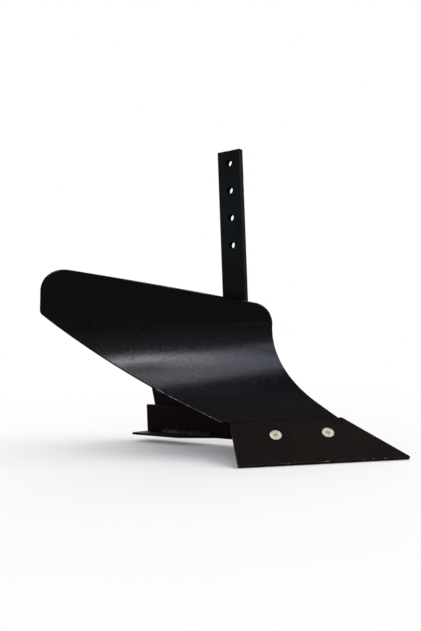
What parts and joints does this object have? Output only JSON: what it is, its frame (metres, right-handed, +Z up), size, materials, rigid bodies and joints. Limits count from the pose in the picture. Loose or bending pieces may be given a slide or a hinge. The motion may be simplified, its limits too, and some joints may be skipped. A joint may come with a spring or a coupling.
{
  "type": "tiller plough",
  "caption": "Small mouldboard plough for a walk-behind tiller: rolled mouldboard over a screwed-on share, with landside and sole on a flat shank drilled for the hitch.",
  "frame": {"origin": "middle of the row of hitch holes, at half the shank's thickness", "axes": "+X is the way the plough travels, +Y is its land side (left, along the hitch holes' axes) and +Z is up"},
  "size_m": [0.4729, 0.2251, 0.4556],
  "materials": {
    "shank_paint": "satin",
    "board_paint": "satin",
    "share_paint": "satin, worn at the cutting edge",
    "frame_paint": "satin",
    "plain_screw": "plain zinc",
    "bare_weld": "rough, thinly painted",
    "painted_weld": "rough"
  },
  "bodies": {
    "root": {"shank": "shank_paint", "mouldboard": "board_paint", "share": "share_paint", "share_seat": "frame_paint", "frog_plate": "frame_paint", "landside_bar": "frame_paint", "sole_plate": "frame_paint", "front_rib": "frame_paint", "heel_rib": "frame_paint", "stay_bar": "frame_paint", "share_screws": "plain_screw", "flat_washers": "plain_screw", "spring_washers": "plain_screw", "share_nuts": "plain_screw", "sole_weld": "bare_weld", "landside_welds": "painted_weld", "shank_welds": "painted_weld", "shin_weld": "painted_weld", "seat_weld": "painted_weld", "foot_welds": "painted_weld", "rib_welds": "painted_weld", "stay_welds": "painted_weld"}
  },
  "joints": []
}
